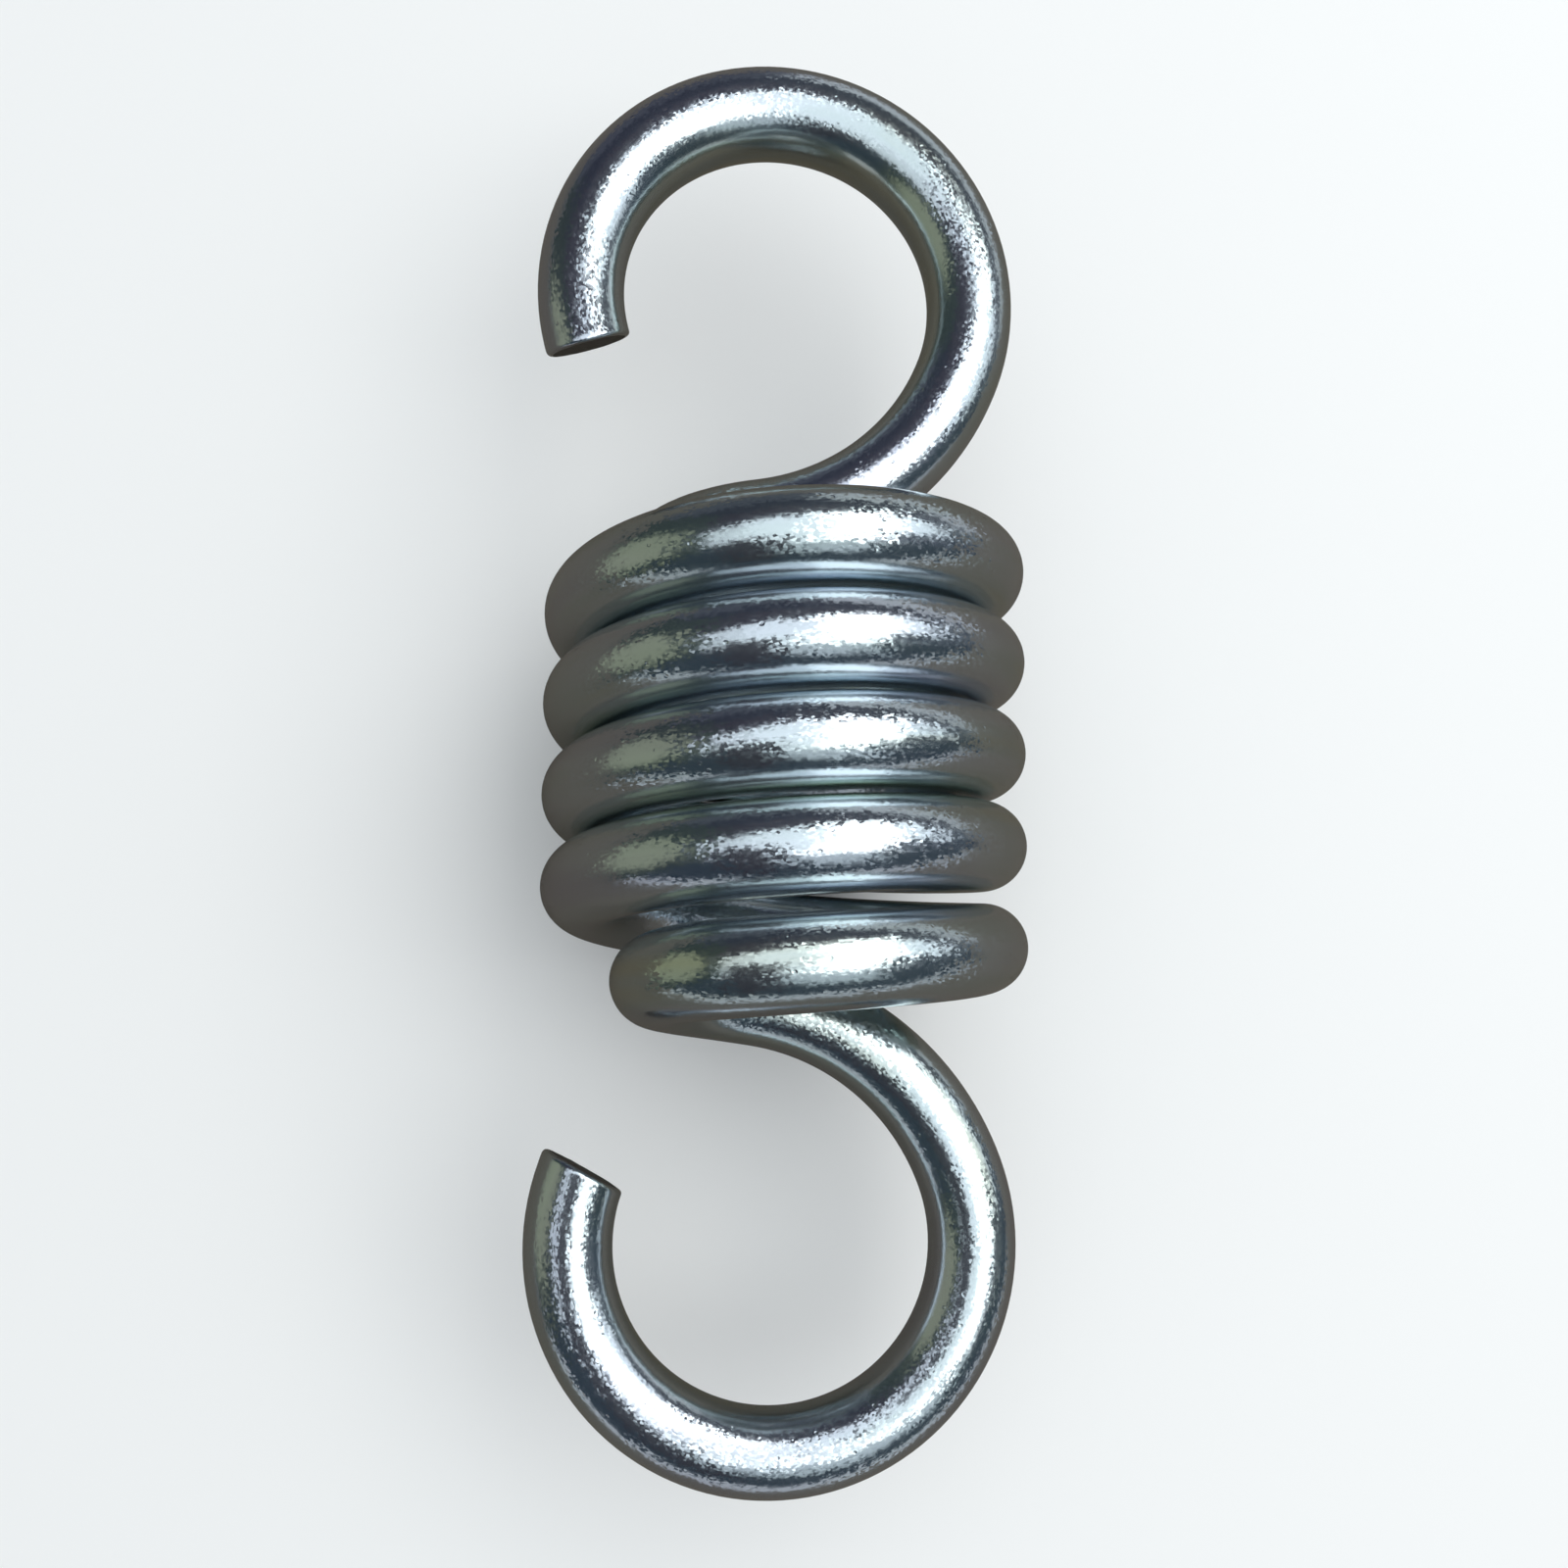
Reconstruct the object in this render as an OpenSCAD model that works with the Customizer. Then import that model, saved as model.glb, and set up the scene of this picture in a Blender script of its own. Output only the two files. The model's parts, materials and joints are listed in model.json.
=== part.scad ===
// Heavy extension spring with an open hook at each end, cold coiled from one length of round wire.
// The spring lies on its coil. X runs across it, Y runs along it and Z is up from the surface it lies on.
// The origin is under the middle of the whole spring, at the level of that surface.

/* [Wire] */
// Diameter of the wire
wire_d = 8.5; // [6:0.1:10]

/* [Coil] */
// Diameter over the outside of the coil
coil_outer_d = 47; // [42:0.5:60]
// Whole turns between the two end turns
coil_turns = 4; // [2:1:6]
// Part of a turn that the coil keeps at each end, past its widest side, in degrees
end_turn = 105; // [95:5:115]
// Gap between one turn and the next
coil_gap = 0.4; // [0.1:0.1:3]
// Extra gap that has opened beside the last turn at the lower end
end_gap = 1; // [0:0.1:4]

/* [End bends] */
// How far each hook lies past the middle of the coil, on the far side from where its end leaves the coil
hook_offset = 1.2; // [0:0.1:3]
// Angle by which the wire already points away from the coil where that bend ends
bend_lead = 9; // [4:1:20]

/* [Hooks] */
// Inside diameter of each hook
hook_inner_d = 30.7; // [20:0.1:40]
// Radius, to the middle of the wire, of the wider shoulder that leads into a hook
shoulder_r = 25.5; // [25:0.5:36]
// Angle by which the wire points away from the coil where the shoulder meets the round hook
shoulder_end = 70; // [45:1:85]
// How far the tip of the lower hook reaches back towards the coil, past the hook's widest point, in degrees
lower_tip = 21.5; // [0:0.5:35]
// How far the tip of the upper hook reaches back towards the coil, past the hook's widest point, in degrees
upper_tip = 17; // [0:0.5:35]

/* [Wire ends] */
// Angle off square at which the wire was sheared
shear_angle = 8; // [0:1:12]
// Width of the worn edge round each sheared end
tip_edge = 0.5; // [0.2:0.1:0.8]

/* [Smoothness] */
// Flats round the wire
wire_sides = 18; // [12:2:22]
// Straight steps in one turn of the coil
turn_steps = 36; // [24:4:44]

/* [Hidden] */

// Sizes of the coil
wire_r = wire_d/2;
coil_r = (coil_outer_d-wire_d)/2;
pitch = wire_d+coil_gap;
coil_angle = 360*coil_turns+2*end_turn;
coil_length = pitch*coil_angle/360;
coil_slope = pitch/(2*PI*coil_r);

// Sizes of the bends and hooks, to the middle of the wire
hook_r = hook_inner_d/2+wire_r;
bend_r = (coil_r*sin(end_turn)+hook_offset)/(1+sin(end_turn));
bend_turn = 270-end_turn;
bend_run = bend_r*bend_turn*PI/180;
bend_power = 3;
bend_cx = (coil_r-bend_r)*cos(end_turn);
bend_cz = (coil_r-bend_r)*sin(end_turn);

// Numbers of straight steps
coil_steps = round(coil_angle*turn_steps/360);
bend_steps = 18;
shoulder_steps = 8;
hook_steps = 28;

// A station is a point on the middle line of the wire and a direction square to it.
// From one station to the next the direction turns smoothly, so the wire is not twisted.

// Extra distance from the middle of the coil at an angle. It grows over the last turn at the lower end.
function opened(a) = let (t = min(1, max(0, (a+180)/(end_turn+180)))) end_gap*t*t*(3-2*t);

// The coil, from its lower end to its upper end
function coil_station(i) =
    let (a = end_turn-i*coil_angle/coil_steps,
         y = -coil_length/2+i*coil_length/coil_steps-opened(a))
    [[coil_r*cos(a), y, coil_r*sin(a)], [cos(a), 0, sin(a)]];

// An end is worked out with its second number as the distance beyond the end of the coil.
// The bend leaves the coil along its own circle and turns in to the axis, ever steeper away from the coil.
function bend_out(s) =
    bend_run*(coil_slope*s+(tan(bend_lead)-coil_slope)*pow(s, bend_power+1)/(bend_power+1));
function bend_station(i) =
    let (s = i/bend_steps, a = end_turn+s*bend_turn)
    [[bend_cx+bend_r*cos(a), bend_out(s), bend_cz+bend_r*sin(a)], [cos(a), 0, sin(a)]];

// The shoulder and the hook lie flat, side by side with the axis, and turn about two centres
bend_end = bend_station(bend_steps)[0];
shoulder_c = [bend_end[0]-shoulder_r*sin(bend_lead), bend_end[1]+shoulder_r*cos(bend_lead)];
hook_c = shoulder_c+(shoulder_r-hook_r)*[sin(shoulder_end), -cos(shoulder_end)];
function flat_station(c, r, a) = [[c[0]+r*sin(a), c[1]-r*cos(a), bend_end[2]], [0, 0, -1]];
function end_stations(tip) = concat(
    [for (i = [1:bend_steps]) bend_station(i)],
    [for (i = [1:shoulder_steps])
        flat_station(shoulder_c, shoulder_r, bend_lead+i*(shoulder_end-bend_lead)/shoulder_steps)],
    [for (i = [1:hook_steps])
        flat_station(hook_c, hook_r, shoulder_end+i*(270+tip-shoulder_end)/hook_steps)]);

// The two ends are alike, the upper one turned half round about the X axis
function place_lower(s) =
    [[s[0][0], -coil_length/2-end_gap-s[0][1], s[0][2]], [s[1][0], -s[1][1], s[1][2]]];
function place_upper(s) =
    [[s[0][0], coil_length/2+s[0][1], -s[0][2]], [s[1][0], s[1][1], -s[1][2]]];
function reversed(v) = [for (i = [len(v)-1:-1:0]) v[i]];
stations = concat(
    reversed([for (s = end_stations(lower_tip)) place_lower(s)]),
    [for (i = [0:coil_steps]) coil_station(i)],
    [for (s = end_stations(upper_tip)) place_upper(s)]);
last = len(stations)-1;

// A ring of points round the wire at a station
function unit(v) = v/norm(v);
function at(i) = stations[i][0];
function heading(i) =
    i == 0 ? unit(4*at(1)-3*at(0)-at(2)) :
    i == last ? unit(3*at(last)-4*at(last-1)+at(last-2)) :
    unit(at(i+1)-at(i-1));
function ring(i, r, back, shear) =
    let (p = at(i), t = heading(i),
         n = unit(stations[i][1]-(stations[i][1]*t)*t),
         b = cross(t, n))
    [for (k = [0:wire_sides-1])
        let (a = 360*k/wire_sides)
        p+r*cos(a)*n+r*sin(a)*b+t*(r*sin(a)*tan(shear)+back)];

// The sheared ends lean so that the outer side of each hook is the longer one, and their edge is worn off
rings = concat(
    [ring(0, wire_r-tip_edge, 0, shear_angle), ring(0, wire_r, tip_edge, shear_angle)],
    [for (i = [1:last-1]) ring(i, wire_r, 0, 0)],
    [ring(last, wire_r, -tip_edge, shear_angle), ring(last, wire_r-tip_edge, 0, shear_angle)]);
points = [for (r = rings, p = r) p];

// The spring is moved so that it is centred over the origin and lies on the surface
xs = [for (p = points) p[0]];
ys = [for (p = points) p[1]];
zs = [for (p = points) p[2]];
rest = -[(min(xs)+max(xs))/2, (min(ys)+max(ys))/2, min(zs)];

// The faces between neighbouring rings, and the two ends of the wire
function side_faces(i) = [for (k = [0:wire_sides-1])
    let (m = (k+1)%wire_sides, a = i*wire_sides, b = (i+1)*wire_sides)
    each [[a+k, b+k, b+m], [a+k, b+m, a+m]]];
faces = concat(
    [[for (k = [0:wire_sides-1]) k]],
    [for (i = [0:len(rings)-2]) each side_faces(i)],
    [[for (k = [wire_sides-1:-1:0]) (len(rings)-1)*wire_sides+k]]);

module spring() {
    color("lightsteelblue")
        translate(rest) polyhedron(points, faces, convexity = 12);
}

spring();
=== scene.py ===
# %% [markdown]
# # Extension spring
# A heavy spring of bright zinc-plated steel wire, of the kind that hangs a swing chair or a hammock.
# It lies on its coil and is seen from above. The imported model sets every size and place, so it is loaded first,
# and its box is kept to compare with the finished spring.

# %% Load the frame
import json
from math import ceil, cos, pi, radians, sin, tan
import bmesh
import bpy
from mathutils import Matrix, Vector
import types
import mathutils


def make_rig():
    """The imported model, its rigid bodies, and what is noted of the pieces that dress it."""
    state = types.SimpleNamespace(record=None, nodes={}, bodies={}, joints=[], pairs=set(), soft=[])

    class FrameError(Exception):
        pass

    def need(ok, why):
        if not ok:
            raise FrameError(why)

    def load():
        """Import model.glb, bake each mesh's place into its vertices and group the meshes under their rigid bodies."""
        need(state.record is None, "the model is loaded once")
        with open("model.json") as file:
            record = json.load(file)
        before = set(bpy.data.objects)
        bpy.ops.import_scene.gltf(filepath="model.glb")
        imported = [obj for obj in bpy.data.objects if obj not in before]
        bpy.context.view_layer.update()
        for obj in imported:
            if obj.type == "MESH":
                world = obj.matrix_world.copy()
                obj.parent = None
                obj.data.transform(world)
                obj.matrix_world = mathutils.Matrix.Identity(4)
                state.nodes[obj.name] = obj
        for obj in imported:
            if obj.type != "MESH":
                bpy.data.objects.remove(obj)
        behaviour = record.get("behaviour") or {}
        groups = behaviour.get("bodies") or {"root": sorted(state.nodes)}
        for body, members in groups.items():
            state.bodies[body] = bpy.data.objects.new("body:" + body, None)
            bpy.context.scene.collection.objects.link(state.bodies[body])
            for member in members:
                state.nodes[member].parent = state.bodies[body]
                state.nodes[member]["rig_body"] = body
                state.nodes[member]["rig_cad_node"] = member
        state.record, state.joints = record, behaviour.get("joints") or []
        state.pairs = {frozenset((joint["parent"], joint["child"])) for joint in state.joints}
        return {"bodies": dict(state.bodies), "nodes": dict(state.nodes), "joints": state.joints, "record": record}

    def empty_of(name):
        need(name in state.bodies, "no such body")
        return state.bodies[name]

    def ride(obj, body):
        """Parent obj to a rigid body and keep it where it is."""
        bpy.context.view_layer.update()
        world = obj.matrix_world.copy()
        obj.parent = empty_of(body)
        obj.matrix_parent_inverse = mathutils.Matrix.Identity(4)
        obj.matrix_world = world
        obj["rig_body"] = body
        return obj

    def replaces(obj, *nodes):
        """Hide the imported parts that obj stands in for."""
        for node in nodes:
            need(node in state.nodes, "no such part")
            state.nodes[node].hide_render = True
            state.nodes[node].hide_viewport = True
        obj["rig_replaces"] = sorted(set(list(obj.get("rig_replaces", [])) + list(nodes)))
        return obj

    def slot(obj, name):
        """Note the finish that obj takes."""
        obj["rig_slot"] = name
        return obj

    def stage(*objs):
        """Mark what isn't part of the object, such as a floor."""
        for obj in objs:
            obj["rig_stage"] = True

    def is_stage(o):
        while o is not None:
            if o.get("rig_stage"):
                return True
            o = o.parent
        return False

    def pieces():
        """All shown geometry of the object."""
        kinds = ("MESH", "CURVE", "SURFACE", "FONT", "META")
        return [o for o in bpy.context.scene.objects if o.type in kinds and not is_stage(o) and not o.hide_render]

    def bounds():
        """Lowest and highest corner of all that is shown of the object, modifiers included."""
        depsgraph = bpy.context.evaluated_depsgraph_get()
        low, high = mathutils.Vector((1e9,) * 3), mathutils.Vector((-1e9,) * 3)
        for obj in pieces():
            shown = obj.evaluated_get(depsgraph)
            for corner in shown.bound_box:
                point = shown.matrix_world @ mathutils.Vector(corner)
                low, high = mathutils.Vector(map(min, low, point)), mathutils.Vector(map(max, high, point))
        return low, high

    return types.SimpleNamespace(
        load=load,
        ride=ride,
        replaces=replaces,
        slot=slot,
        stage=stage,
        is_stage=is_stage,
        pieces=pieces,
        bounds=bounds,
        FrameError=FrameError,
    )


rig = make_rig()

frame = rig.load()
cad_box = [list(corner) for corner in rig.bounds()]
print("CAD box in mm:", [[round(v*1000, 1) for v in corner] for corner in cad_box])

# %% [markdown]
# ## The sizes of the wire
# A spring like this is one length of drawn wire, wound cold on a coiler and then bent at both ends.
# Its shape follows a few rules, so a handful of sizes is enough to draw the middle line of the whole wire.
# They are the sizes of the solid model, in metres and degrees. Only the cuts are drawn more closely than there:
# the upper one is nearly square, and both lean so that the top edge stands out farther.

# %% Sizes
MM = 0.001
WIRE_R = 8.5*MM/2
COIL_R = 47*MM/2-WIRE_R
PITCH = 8.5*MM+0.4*MM
END_TURN = 105
COIL_ANGLE = 360*4+2*END_TURN
COIL_LENGTH = PITCH*COIL_ANGLE/360
END_GAP = 1.0*MM
HOOK_OFFSET = 1.2*MM
BEND_LEAD = 9
HOOK_R = 30.7*MM/2+WIRE_R
SHOULDER_R = 25.5*MM
SHOULDER_END = 70
TIPS = {"lower": 21.5, "upper": 17}
SHEAR = {"lower": 8, "upper": 1}
OVERHANG = {"lower": 3, "upper": 20}
print("coil length %.1f mm, hook radius %.2f mm" % (COIL_LENGTH/MM, HOOK_R/MM))

# %% [markdown]
# ## The middle line of the wire
# The coil is a helix. At each end the wire leaves it in a tight bend that turns in to the axis, runs out over
# a wider shoulder and closes in a round hook. Each stretch is a function from a step between 0 and 1 to a point
# and a direction square to the wire. The direction is kept because the surface finish has to follow the wire
# and must not twist along it.

# %% The stretches of the line
def turned(angle, radius):
    return Vector((radius*cos(radians(angle)), 0, radius*sin(radians(angle))))

def coil(step):
    angle = END_TURN-step*COIL_ANGLE
    eased = min(1, max(0, (angle+180)/(END_TURN+180)))
    along = -COIL_LENGTH/2+step*COIL_LENGTH-END_GAP*eased*eased*(3-2*eased)
    return turned(angle, COIL_R)+Vector((0, along, 0)), turned(angle, 1)

BEND_R = (COIL_R*sin(radians(END_TURN))+HOOK_OFFSET)/(1+sin(radians(END_TURN)))
BEND_TURN = 270-END_TURN
BEND_RUN = BEND_R*radians(BEND_TURN)
COIL_SLOPE = PITCH/(2*pi*COIL_R)

def bend(step):
    angle = END_TURN+step*BEND_TURN
    out = BEND_RUN*(COIL_SLOPE*step+(tan(radians(BEND_LEAD))-COIL_SLOPE)*step**4/4)
    return turned(END_TURN, COIL_R-BEND_R)+turned(angle, BEND_R)+Vector((0, out, 0)), turned(angle, 1)

bend_end = bend(1)[0]
shoulder_centre = bend_end+SHOULDER_R*Vector((-sin(radians(BEND_LEAD)), cos(radians(BEND_LEAD)), 0))
to_hook = Vector((sin(radians(SHOULDER_END)), -cos(radians(SHOULDER_END)), 0))
hook_centre = shoulder_centre+(SHOULDER_R-HOOK_R)*to_hook

def flat(centre, radius, angle):
    return centre+radius*Vector((sin(radians(angle)), -cos(radians(angle)), 0)), Vector((0, 0, -1))

def shoulder(step):
    return flat(shoulder_centre, SHOULDER_R, BEND_LEAD+step*(SHOULDER_END-BEND_LEAD))

def hook(step, tip):
    return flat(hook_centre, HOOK_R, SHOULDER_END+step*(270+tip-SHOULDER_END))

print("end bend radius %.2f mm" % (BEND_R/MM))

# %% [markdown]
# ## One line from tip to tip
# The stretches are sampled about every millimetre and joined. The two ends are alike, the upper one turned
# half round about the X axis. At the two tips the rings stand closer together and grow smaller, which rounds
# the sheared edge and closes the end of the wire. EDGE lists how far each of these rings lies back from the tip
# in millimetres, and how full the wire is there.

# %% Join the stretches
STEP = 1.0*MM
EDGE = [(0.60, 1), (0.42, 0.998), (0.27, 0.989), (0.15, 0.972), (0.07, 0.95), (0.02, 0.92), (0, 0.885),
        (-0.01, 0.76), (-0.02, 0.6), (-0.03, 0.43), (-0.04, 0.26), (-0.05, 0.1)]

def sampled(stretch, length):
    count = ceil(length/STEP)
    return [stretch(i/count) for i in range(1, count+1)]

def end_stations(tip):
    turn = 270+tip-SHOULDER_END
    length = HOOK_R*radians(turn)
    line = sampled(bend, BEND_RUN)+sampled(shoulder, SHOULDER_R*radians(SHOULDER_END-BEND_LEAD))
    line += [s for s in sampled(lambda step: hook(step, tip), length) if
             (s[0]-hook(1, tip)[0]).length > 0.9*MM]
    line = [(point, side, 1) for point, side in line]
    return line+[(*hook(1-back*MM/length, tip), swell) for back, swell in EDGE]

def place_lower(s):
    return Vector((s[0].x, -COIL_LENGTH/2-END_GAP-s[0].y, s[0].z)), Vector((s[1].x, -s[1].y, s[1].z)), s[2]

def place_upper(s):
    return Vector((s[0].x, COIL_LENGTH/2+s[0].y, -s[0].z)), Vector((s[1].x, s[1].y, -s[1].z)), s[2]

coil_line = [coil(0)]+sampled(coil, COIL_R*radians(COIL_ANGLE))
stations = [place_lower(s) for s in end_stations(TIPS["lower"])][::-1]
stations += [(point, side, 1) for point, side in coil_line]
stations += [place_upper(s) for s in end_stations(TIPS["upper"])]
points = [s[0] for s in stations]
steps = [(b-a).length for a, b in zip(points, points[1:])]
along = [sum(steps[:i]) for i in range(len(points))]
print(len(stations), "stations, %.0f mm of wire" % (along[-1]/MM))

# %% [markdown]
# ## The line as a mesh that carries its own facts
# A path mesh of points and edges can carry named attributes, and Geometry Nodes can read them. Each station
# keeps its centre, its side direction, its heading, how far along the wire it lies, how full the wire is there,
# how near it is to a sheared tip, and the two slopes of the cut at that tip.

# %% The path mesh
LEANING_LENGTH = 12*MM

def heading(i):
    a, b = max(0, i-1), min(len(points)-1, i+1)
    if i < len(EDGE):
        a, b = len(EDGE)-1, len(EDGE)+1
    if i >= len(points)-len(EDGE):
        a, b = len(points)-len(EDGE)-2, len(points)-len(EDGE)
    return (points[b]-points[a]).normalized()

def near_tip(i):
    from_tip = min(along[i], along[-1]-along[i])/LEANING_LENGTH
    return (1-min(1, from_tip))**2

def leaning_by(angles, i):
    return tan(radians(angles["lower" if i < len(points)/2 else "upper"]))

facts = {
    "centre": ("FLOAT_VECTOR", points),
    "side": ("FLOAT_VECTOR", [s[1] for s in stations]),
    "heading": ("FLOAT_VECTOR", [heading(i) for i in range(len(points))]),
    "along": ("FLOAT", along),
    "swell": ("FLOAT", [s[2] for s in stations]),
    "near_tip": ("FLOAT", [near_tip(i) for i in range(len(points))]),
    "shear": ("FLOAT", [leaning_by(SHEAR, i) for i in range(len(points))]),
    "overhang": ("FLOAT", [leaning_by(OVERHANG, i) for i in range(len(points))]),
}
path = bpy.data.meshes.new("wire line")
path.from_pydata(points, [(i, i+1) for i in range(len(points)-1)], [])
for name, (kind, values) in facts.items():
    data = path.attributes.new(name, kind, "POINT").data
    for item, value in zip(data, values):
        setattr(item, "vector" if kind == "FLOAT_VECTOR" else "value", value)
wire = bpy.data.objects.new("plated_wire", path)
bpy.context.scene.collection.objects.link(wire)
print("facts on the line:", ", ".join(facts))

# %% [markdown]
# ## Small helpers
# One function adds a node with its settings and links, for the geometry and for the finishes alike. A node that
# is given as a value stands for its first output. Another function turns a colour written as on a web page into
# the linear values that Blender computes with.

# %% Helpers
def add(tree, kind, links=None, **settings):
    node = tree.nodes.new(kind)
    for name, value in settings.items():
        setattr(node, name, value)
    for name, value in (links or {}).items():
        source = value.outputs[0] if isinstance(value, bpy.types.Node) else value
        if isinstance(source, bpy.types.NodeSocket):
            tree.links.new(source, node.inputs[name])
        else:
            node.inputs[name].default_value = source
    return node

def linear(code):
    parts = [int(code[i:i+2], 16)/255 for i in (1, 3, 5)]
    return [p/12.92 if p <= 0.04045 else ((p+0.055)/1.055)**2.4 for p in parts]+[1]

print("plating #C9D5D6 is", [round(v, 2) for v in linear("#C9D5D6")])

# %% [markdown]
# ## The tube
# A round wire along a line is a sweep: a circle carried along the line. The tree below sets the side direction,
# so that the circle does not twist, and then pushes the points near a tip along the wire, which leans the cut.
# It ends with the place of each point on the straight wire, before it was coiled: two numbers across and one
# along, in millimetres. The finish is drawn on that.

# %% The tree that sweeps the wire
tube = bpy.data.node_groups.new("Swept wire", "GeometryNodeTree")
for name, kind in (("Geometry", "NodeSocketGeometry"), ("Wire Radius", "NodeSocketFloat"),
                   ("Sides", "NodeSocketInt"), ("Burr", "NodeSocketFloat"), ("Finish", "NodeSocketMaterial")):
    tube.interface.new_socket(name, in_out="INPUT", socket_type=kind)
tube.interface.new_socket("Geometry", in_out="OUTPUT", socket_type="NodeSocketGeometry")
given = tube.nodes.new("NodeGroupInput").outputs
fact = {}
for name, (kind, values) in facts.items():
    fact[name] = add(tube, "GeometryNodeInputNamedAttribute", {"Name": name}, data_type=kind)

line = add(tube, "GeometryNodeMeshToCurve", {"Mesh": given["Geometry"]})
line = add(tube, "GeometryNodeSetCurveNormal", {"Curve": line, "Normal": fact["side"]}, mode="FREE")
circle = add(tube, "GeometryNodeCurvePrimitiveCircle", {"Resolution": given["Sides"],
             "Radius": given["Wire Radius"]})
swept = add(tube, "GeometryNodeCurveToMesh", {"Curve": line, "Profile Curve": circle, "Scale": fact["swell"],
            "Fill Caps": True})
print(len(tube.nodes), "nodes up to the sweep")

# %% Where each point lies on the straight wire
here = add(tube, "GeometryNodeInputPosition")
out_from = add(tube, "ShaderNodeVectorMath", {0: here, 1: fact["centre"]}, operation="SUBTRACT")
other_side = add(tube, "ShaderNodeVectorMath", {0: fact["heading"], 1: fact["side"]}, operation="CROSS_PRODUCT")
across_1 = add(tube, "ShaderNodeVectorMath", {0: out_from, 1: fact["side"]}, operation="DOT_PRODUCT")
across_2 = add(tube, "ShaderNodeVectorMath", {0: out_from, 1: other_side}, operation="DOT_PRODUCT")
across_1, across_2 = across_1.outputs["Value"], across_2.outputs["Value"]
straight = add(tube, "ShaderNodeCombineXYZ", {"X": across_1, "Y": across_2, "Z": fact["along"]})
in_mm = add(tube, "ShaderNodeVectorMath", {0: straight, "Scale": 1/MM}, operation="SCALE")
print(len(tube.nodes), "nodes up to the straight wire")

# %% The two cuts, which lean and are a little torn
lean = add(tube, "ShaderNodeMath", {0: across_2, 1: fact["shear"]}, operation="MULTIPLY")
lean = add(tube, "ShaderNodeMath", {0: across_1, 1: fact["overhang"], 2: lean}, operation="MULTIPLY_ADD")
lean = add(tube, "ShaderNodeMath", {0: lean, 1: fact["near_tip"]}, operation="MULTIPLY")
torn = add(tube, "ShaderNodeTexNoise", {"Vector": in_mm, "Scale": 0.9, "Detail": 3})
torn = add(tube, "ShaderNodeMath", {0: torn, 1: 0.5}, operation="SUBTRACT")
hollow = add(tube, "ShaderNodeMath", {0: 1, 1: fact["swell"]}, operation="SUBTRACT")
burr = add(tube, "ShaderNodeMath", {0: hollow, 1: 6}, operation="MULTIPLY", use_clamp=True)
burr = add(tube, "ShaderNodeMath", {0: burr, 1: given["Burr"]}, operation="MULTIPLY")
push = add(tube, "ShaderNodeMath", {0: torn, 1: burr, 2: lean}, operation="MULTIPLY_ADD")
push = add(tube, "ShaderNodeVectorMath", {0: fact["heading"], "Scale": push}, operation="SCALE")

result = swept
for name, kind, value in (("straight_mm", "FLOAT_VECTOR", in_mm), ("sheared", "FLOAT", hollow)):
    result = add(tube, "GeometryNodeStoreNamedAttribute", {"Geometry": result, "Name": name, "Value": value},
                 data_type=kind, domain="POINT")
result = add(tube, "GeometryNodeSetPosition", {"Geometry": result, "Offset": push})
result = add(tube, "GeometryNodeSetShadeSmooth", {"Geometry": result})
result = add(tube, "GeometryNodeRealizeInstances", {"Geometry": result})
result = add(tube, "GeometryNodeSetMaterial", {"Geometry": result, "Material": given["Finish"]})
add(tube, "NodeGroupOutput", {"Geometry": result})
print(len(tube.nodes), "nodes in all")

# %% [markdown]
# ## Bright zinc plating
# Drawn wire is smooth along its length and keeps faint die lines. It is coiled, and then zinc is plated over it
# in a barrel. The zinc grows as fine grain, so a highlight breaks up into sparkle at its border, and the clear
# passivation over it tints it blue, with a little green and violet. The grain is strongest on the outer and
# inner faces, which slide over the coiling tools, and weak on the flanks, where one turn lies against the next.
# The material is a metal of low roughness, and every pattern on it has a size in millimetres on the straight
# wire.

# %% The plating: where the grain is strong, and where the cut begins
zinc = bpy.data.materials.new("bright zinc plating on drawn wire")
zinc.use_nodes = True
zt = zinc.node_tree
zt.nodes.clear()
on_wire = add(zt, "ShaderNodeAttribute", attribute_name="straight_mm").outputs["Vector"]
outward = add(zt, "ShaderNodeSeparateXYZ", {"Vector": on_wire})
outward = add(zt, "ShaderNodeMath", {0: outward}, operation="ABSOLUTE")
worked = add(zt, "ShaderNodeMapRange", {"Value": outward, "From Min": 2.6, "From Max": 3.6, "To Min": 0.2},
             interpolation_type="SMOOTHSTEP")
sheared = add(zt, "ShaderNodeAttribute", attribute_name="sheared").outputs["Fac"]
cut = add(zt, "ShaderNodeMapRange", {"Value": sheared, "From Min": 0.10, "From Max": 0.14},
          interpolation_type="SMOOTHSTEP")
print("the flanks have 0.2 of the grain")

# %% The plating: noises, each with its stretch along the wire, size in mm, detail and roughness
NOISES = {"die lines": (0.04, 0.25, 2, 0.5), "waves": (0.4, 3.2, 2, 0.5), "torn face": (1, 0.8, 4, 0.7),
          "patches": (0.5, 2.4, 2, 0.5), "tint": (0.12, 6, 3, 0.55), "haze": (1, 0.45, 3, 0.6)}
noise = {}
for name, (stretch, size, detail, roughness) in NOISES.items():
    place = add(zt, "ShaderNodeMapping", {"Vector": on_wire, "Scale": (1, 1, stretch)})
    noise[name] = add(zt, "ShaderNodeTexNoise", {"Vector": place, "Scale": 1/size, "Detail": detail,
                      "Roughness": roughness})
print("noises:", ", ".join(noise))

# %% [markdown]
# Real zinc crystals are far finer than a picture shows. They are drawn 0.2 mm wide, so that they show as the
# speckle at the borders of the highlights. Each is a small flat mirror that leans its own way.

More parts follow.
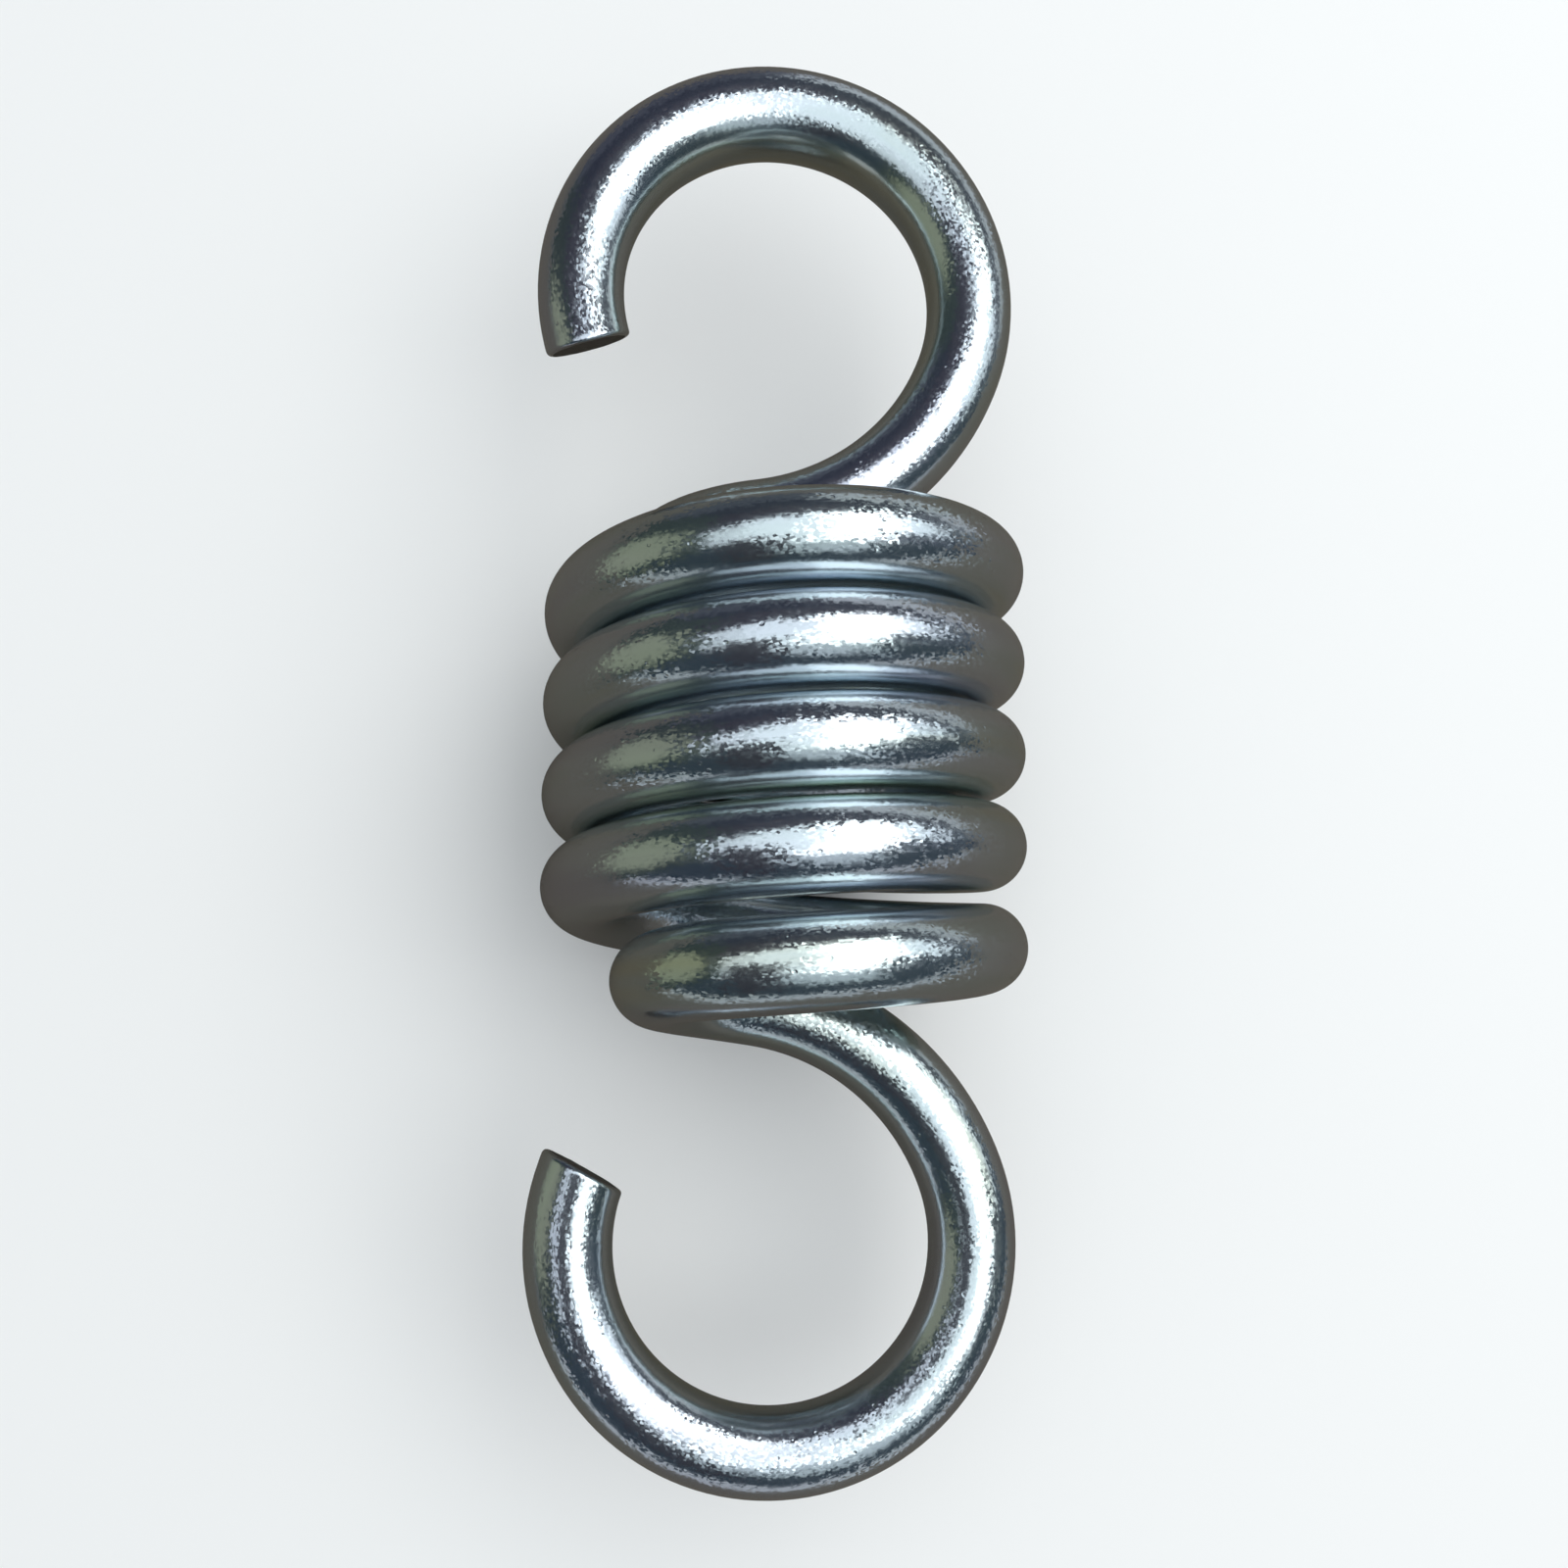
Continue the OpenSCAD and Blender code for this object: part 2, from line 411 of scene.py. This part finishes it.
# %% The plating: crystals
CRYSTAL, CRYSTAL_LEAN = 0.20, 0.20
place = add(zt, "ShaderNodeMapping", {"Vector": on_wire, "Scale": (1, 1, 0.7)})
crystals = add(zt, "ShaderNodeTexVoronoi", {"Vector": place, "Scale": 1/CRYSTAL})
patchy = add(zt, "ShaderNodeMapRange", {"Value": noise["patches"], "From Min": 0.35, "From Max": 0.65,
             "To Min": 0.35}, interpolation_type="SMOOTHSTEP")
lean_by = add(zt, "ShaderNodeMath", {0: worked, 1: patchy}, operation="MULTIPLY")
lean_by = add(zt, "ShaderNodeMath", {0: lean_by, 1: CRYSTAL_LEAN}, operation="MULTIPLY")
own_way = add(zt, "ShaderNodeVectorMath", {0: crystals.outputs["Color"], 1: (0.5, 0.5, 0.5)},
              operation="SUBTRACT")
own_way = add(zt, "ShaderNodeVectorMath", {0: own_way, "Scale": lean_by}, operation="SCALE")
normal = add(zt, "ShaderNodeNewGeometry").outputs["Normal"]
relief = add(zt, "ShaderNodeVectorMath", {0: normal, 1: own_way}, operation="ADD")
relief = add(zt, "ShaderNodeVectorMath", {0: relief}, operation="NORMALIZE")
print("crystals %.2f mm wide" % CRYSTAL)

# %% The plating: reliefs, each with its depth in mm and where it shows
cells = add(zt, "ShaderNodeTexVoronoi", {"Vector": on_wire, "Scale": 1/1.9})
pits = add(zt, "ShaderNodeMapRange", {"Value": cells, "From Min": 0.04, "From Max": 0.12},
           interpolation_type="SMOOTHSTEP")
for height, deep, strength in ((noise["waves"], 0.030, 1), (noise["die lines"], 0.006, 1), (pits, 0.03, worked),
                               (noise["torn face"], 0.25, cut)):
    relief = add(zt, "ShaderNodeBump", {"Height": height, "Distance": deep*MM, "Strength": strength,
                 "Normal": relief})
print("reliefs in mm: waves 0.03, die lines 0.006, pits 0.03, torn face 0.25")

# %% [markdown]
# The passivation is a film far thinner than a hair. It tints the metal along the wire and leaves a faint haze,
# which is the small share that is not metallic and the roughness that comes and goes.

# %% The plating: tint, roughness and the shader
tint = add(zt, "ShaderNodeValToRGB", {"Fac": noise["tint"]})
TINTS = ((0.30, "#C6CAD6"), (0.46, "#D1DAE0"), (0.56, "#C9D5D6"), (0.70, "#CFD4C4"))
while len(tint.color_ramp.elements) < len(TINTS):
    tint.color_ramp.elements.new(0.5)
for element, (place, code) in zip(tint.color_ramp.elements, TINTS):
    element.position, element.color = place, linear(code)
colour = add(zt, "ShaderNodeMix", {"Factor": cut, 6: tint, 7: linear("#75726F")}, data_type="RGBA")
rough = add(zt, "ShaderNodeMapRange", {"Value": noise["haze"], "To Min": 0.13, "To Max": 0.25})
rough = add(zt, "ShaderNodeMix", {"Factor": cut, 2: rough, 3: 0.5})
skin = add(zt, "ShaderNodeBsdfPrincipled", {"Base Color": colour.outputs[2], "Metallic": 0.985,
           "Roughness": rough, "Normal": relief})
add(zt, "ShaderNodeOutputMaterial", {"Surface": skin})
print(len(zt.nodes), "nodes in the plating")

# %% [markdown]
# ## Sweep the wire and put it in its place
# The modifier's inputs are set by the sockets' identifiers before the object is first evaluated. The result
# becomes a plain mesh. Its box is then centred over the origin and laid on the floor, as the solid's is.

# %% Sweep, bake down and place
modifier = wire.modifiers.new("sweep", "NODES")
modifier.node_group = tube
inputs = {"Wire Radius": WIRE_R, "Sides": 64, "Burr": 0.16*MM, "Finish": zinc}
for item in tube.interface.items_tree:
    if item.name in inputs:
        modifier[item.identifier] = inputs[item.name]
evaluated = wire.evaluated_get(bpy.context.evaluated_depsgraph_get())
shape = bpy.data.meshes.new_from_object(evaluated)
wire.modifiers.clear()
wire.data = shape
low = Vector([min(v.co[k] for v in shape.vertices) for k in range(3)])
high = Vector([max(v.co[k] for v in shape.vertices) for k in range(3)])
shape.transform(Matrix.Translation(-Vector(((low.x+high.x)/2, (low.y+high.y)/2, low.z))))
shape.update()
print(len(shape.polygons), "faces, box %.1f x %.1f x %.1f mm" % tuple((high-low)/MM))

# %% Check that the skin is closed and faces outwards
test = bmesh.new()
test.from_mesh(shape)
open_edges = sum(1 for e in test.edges if len(e.link_faces) != 2)
volume = test.calc_volume(signed=True)
if volume < 0:
    bmesh.ops.reverse_faces(test, faces=test.faces)
    test.to_mesh(shape)
test.free()
print("open edges:", open_edges, " volume %.0f mm3" % (volume/MM**3))
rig.ride(wire, "root")
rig.replaces(wire, "spring")
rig.slot(wire, "zinc_plated_wire")

# %% [markdown]
# ## Floor and light
# The floor is plain pale paper. Polished metal shows little of its own colour and mostly what stands round it,
# so it is lit as in a studio: soft lamps side by side above, and dark cards all round, whose reflections give the
# dark bands between the highlight and the edges. A brown card on the table gives the edges their warm grey, an
# olive one stands on the left, and a pale one continues the light towards the near side. The cards are seen only
# in reflections.

# %% The floor
paper = bpy.data.materials.new("matte white paper")
paper.use_nodes = True
sheet = paper.node_tree.nodes["Principled BSDF"]
sheet.inputs["Base Color"].default_value = linear("#F3F1EE")
sheet.inputs["Roughness"].default_value = 0.9
sheet.inputs["Specular IOR Level"].default_value = 0.1

def card(name, corners, material):
    mesh = bpy.data.meshes.new(name)
    mesh.from_pydata(corners, [], [tuple(range(len(corners)))])
    mesh.materials.append(material)
    piece = bpy.data.objects.new(name, mesh)
    bpy.context.scene.collection.objects.link(piece)
    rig.stage(piece)
    return piece

def reflected_only(piece):
    piece.visible_camera = piece.visible_diffuse = piece.visible_shadow = False

def level(half, z):
    return [(-half, -half, z), (half, -half, z), (half, half, z), (-half, half, z)]

FLOOR_HALF = 4
card("floor", level(FLOOR_HALF, 0), paper)
table = bpy.data.materials.new("brown card on the table")
table.use_nodes = True
table.node_tree.nodes["Principled BSDF"].inputs["Base Color"].default_value = linear("#60574C")
table.node_tree.nodes["Principled BSDF"].inputs["Roughness"].default_value = 0.9
reflected_only(card("table_card", level(FLOOR_HALF, 0.3*MM), table))
print("floor", 2*FLOOR_HALF, "m square")

# %% [markdown]
# A card gives off its own even colour. A card with a middle and half sizes fades out towards its rim, so that
# its reflection has a soft border.

# %% The finish of a card
def card_finish(name, code, middle=None, half=None):
    material = bpy.data.materials.new(name)
    material.use_nodes = True
    tree = material.node_tree
    tree.nodes.clear()
    surface = add(tree, "ShaderNodeEmission", {"Color": linear(code), "Strength": 1})
    if middle:
        place = add(tree, "ShaderNodeTexCoord").outputs["Object"]
        place = add(tree, "ShaderNodeMapping", {"Vector": place, "Scale": [1/h if h else 0 for h in half],
                    "Location": [-m/h if h else 0 for m, h in zip(middle, half)]})
        fade = add(tree, "ShaderNodeTexGradient", {"Vector": place}, gradient_type="SPHERICAL")
        fade = add(tree, "ShaderNodeMapRange", {"Value": fade.outputs["Fac"], "From Max": 0.45},
                   interpolation_type="SMOOTHSTEP")
        clear = add(tree, "ShaderNodeBsdfTransparent")
        surface = add(tree, "ShaderNodeMixShader", {0: fade, 1: clear, 2: surface})
    add(tree, "ShaderNodeOutputMaterial", {"Surface": surface})
    return material

# %% The upright cards on the four sides: two corners, the heights of the edges in metres, and the colour
HEIGHT, LEFT, RIGHT, NEAR, FAR = 0.8, -0.62, 2.6, -0.42, 0.85
UPRIGHT = [("dark card far", (LEFT, FAR), (RIGHT, FAR), 0.32, HEIGHT, "#282D3C"),
           ("dark card near", (RIGHT, NEAR), (LEFT, NEAR), 0.12, HEIGHT, "#2D3A45"),
           ("dark card left", (LEFT, NEAR), (LEFT, FAR), 0.03, HEIGHT, "#313C3B"),
           ("dark card right", (RIGHT, FAR), (RIGHT, NEAR), 0.25, HEIGHT, "#38434F"),
           ("grey card right", (RIGHT, 0.1), (RIGHT, FAR), 0, 0.25, "#7A7E81"),
           ("low card right", (RIGHT, NEAR), (RIGHT, 0.1), 0, 0.25, "#39434E"),
           ("low card far", (LEFT, FAR), (0.10, FAR), 0, 0.32, "#4A4E58")]
for name, a, b, low_edge, high_edge, code in UPRIGHT:
    corners = [(*a, low_edge), (*b, low_edge), (*b, high_edge), (*a, high_edge)]
    reflected_only(card(name.replace(" ", "_"), corners, card_finish(name, code)))
print(len(UPRIGHT), "upright cards")

# %% The other cards, in metres
far_left = [(-0.3195, 0.081, 0.40), (0.33725, 0.39695, 0.40), (0.071, 0.4715, 0.40), (-0.3195, 0.4715, 0.40)]
near_right = [(0.588, -0.3869, 0.78), (2.499, -0.3869, 0.78), (2.499, 0.04675, 0.78), (0.84525, -0.0047, 0.78)]
beside = [(-0.085, -0.30, 0.16), (-0.012, -0.30, 0.16), (-0.012, -0.02, 0.16), (-0.085, -0.02, 0.16)]
side_on = [(-0.5, -0.3, 0), (-0.5, 0.36, 0), (-0.5, 0.36, 0.5), (-0.5, -0.3, 0.5)]
facing = [(-0.2, -0.41, 0.1), (0.7, -0.41, 0.1), (0.7, -0.41, 0.79), (-0.2, -0.41, 0.79)]
OTHERS = [("far left flag", far_left, "#2C2836"),
          ("near right flag", near_right, "#333D4B"),
          ("card beside the camera", beside, "#2E2D36"),
          ("olive card", side_on, "#8F9480", (-0.5, 0.03, 0.22), (0, 0.33, 0.27)),
          ("pale card near", facing, "#C2CDD3", (0.22, -0.41, 0.64), (0.36, 0, 0.40))]
for name, corners, *finish in OTHERS:
    reflected_only(card(name.replace(" ", "_"), corners, card_finish(name, *finish)))
print(len(OTHERS), "other cards")

# %% The lamps and the surroundings
LAMPS = [("far left", LEFT, -0.30, 0.40, "#E3F0F8"), ("left", -0.30, 0.12, 0.70, "#EAF5FB"),
         ("middle", 0.12, 0.90, 1.8, "#FAFEFF"), ("right", 0.90, 1.55, 0.75, "#E6F0FA"),
         ("far right", 1.55, RIGHT, 0.25, "#D8E6F4")]
for name, x0, x1, radiance, code in LAMPS:
    light = bpy.data.lights.new("soft light "+name, "AREA")
    light.shape = "RECTANGLE"
    light.size, light.size_y = x1-x0, FAR-NEAR
    light.energy = radiance*pi*light.size*light.size_y
    light.color = linear(code)[:3]
    lamp = bpy.data.objects.new("soft light "+name, light)
    lamp.location = ((x0+x1)/2, (NEAR+FAR)/2, HEIGHT)
    bpy.context.scene.collection.objects.link(lamp)
world = bpy.data.worlds.new("even room light")
bpy.context.scene.world = world
world.use_nodes = True
world.node_tree.nodes["Background"].inputs["Color"].default_value = linear("#D5DADF")
world.node_tree.nodes["Background"].inputs["Strength"].default_value = 0.78
print(len(LAMPS), "lamps and an even room light")

# %% [markdown]
# Light that falls between two turns is thrown to and fro many times before it gets out. With the usual limit it
# would be lost there and the crevices would turn black, so the limit is raised.

# %% How often light may bounce
cycles = bpy.context.scene.cycles
cycles.max_bounces, cycles.glossy_bounces = 24, 16
print("up to", cycles.glossy_bounces, "reflections one after another")

# %% [markdown]
# ## Camera
# The picture was taken close up, from nearly straight above and a little below the middle of the spring.
# Place, direction and lens were fitted to the spring's outline, so they are set as plain numbers.

# %% Camera
camera = bpy.data.objects.new("camera", bpy.data.cameras.new("camera"))
bpy.context.scene.collection.objects.link(camera)
camera.data.sensor_width = 36
camera.data.lens = 36*1416.1/1600
camera.data.shift_x = (800-772.8)/1600
camera.data.shift_y = (919.5-800)/1600
camera.data.clip_start, camera.data.clip_end = 0.01, 50
place = Matrix.Translation((-14.47*MM, -25.35*MM, 157.90*MM))
for angle, axis in ((4.923, "X"), (-5.316, "Y"), (0.668, "Z")):
    place = place@Matrix.Rotation(radians(angle), 4, axis)
camera.matrix_world = place
bpy.context.scene.camera = camera
bpy.context.scene.view_settings.view_transform = "Standard"
print("lens %.1f mm" % camera.data.lens)

# %% Finish
json.dump({"cad": cad_box, "visual": [list(corner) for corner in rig.bounds()]}, open("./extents.json", "w"))
print(open("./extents.json").read())
